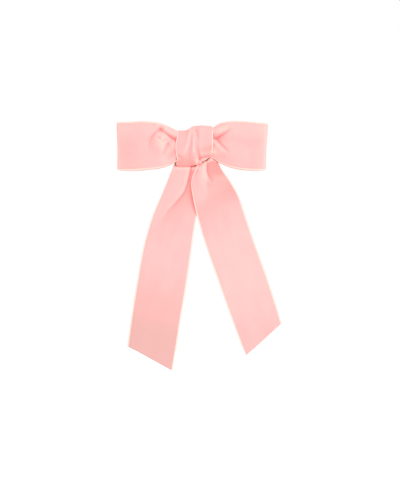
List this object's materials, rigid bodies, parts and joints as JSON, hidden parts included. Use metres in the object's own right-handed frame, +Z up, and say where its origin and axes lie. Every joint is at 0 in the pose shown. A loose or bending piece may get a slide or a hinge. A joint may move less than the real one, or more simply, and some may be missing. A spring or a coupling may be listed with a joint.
{
  "type": "barrette",
  "caption": "Hair barrette: a tied bow of wide velvet ribbon with hanging tails, on an arched spring clip with a hinged arm, a leaf spring and a squeeze catch.",
  "frame": {"origin": "the middle of the gap that holds the hair, between the tension bar and the swing arm", "axes": "+X along the clip towards its catch, +Z up as worn, -Y the way the bow faces, +Y towards the head"},
  "size_m": [0.1273, 0.0316, 0.1938],
  "materials": {
    "velvet": "soft pink velvet pile with a pale selvedge",
    "thread": "spun polyester thread",
    "felt": "pressed felt",
    "plate_steel": "nickel-plated steel strip, lightly brushed",
    "spring_steel": "plated spring steel",
    "pin_steel": "turned steel"
  },
  "bodies": {
    "root": {"top_plate": "plate_steel", "hinge_pin": "pin_steel", "bar_rivet": "pin_steel", "catch_base": "spring_steel", "catch_rivet": "pin_steel", "felt_pad": "felt", "loop_ribbon": "velvet", "knot_wrap": "velvet", "gather_thread": "thread", "tail_left": "velvet", "tail_right": "velvet"},
    "arm": {"swing_arm": "plate_steel"},
    "leaf_spring": {"tension_bar": "spring_steel"},
    "upper_prong": {"catch_prong_upper": "spring_steel"},
    "lower_prong": {"catch_prong_lower": "spring_steel"}
  },
  "joints": [
    {"name": "arm_swing", "type": "hinge", "parent": "root", "child": "arm", "pos_m": [-0.033, 0.0039, 0], "axis": [0, 0, 1], "range_deg": [0, 100], "deforming": ["catch_prong_upper", "catch_prong_lower"]},
    {"name": "tension_bar_flex", "type": "hinge", "parent": "root", "child": "leaf_spring", "pos_m": [-0.028, -0.0014, 0], "axis": [0, 0, 1], "range_deg": [-1.6, 0], "stiffness_Nm_per_rad": 0.2},
    {"name": "catch_squeeze_upper", "type": "hinge", "parent": "root", "child": "upper_prong", "pos_m": [0.0323, 0.0009, 0.0017], "axis": [-1, 0, 0], "range_deg": [0, 7.5], "stiffness_Nm_per_rad": 0.2},
    {"name": "catch_squeeze_lower", "type": "hinge", "parent": "root", "child": "lower_prong", "pos_m": [0.0323, 0.0009, -0.0017], "axis": [1, 0, 0], "range_deg": [0, 7.5], "stiffness_Nm_per_rad": 0.2}
  ]
}
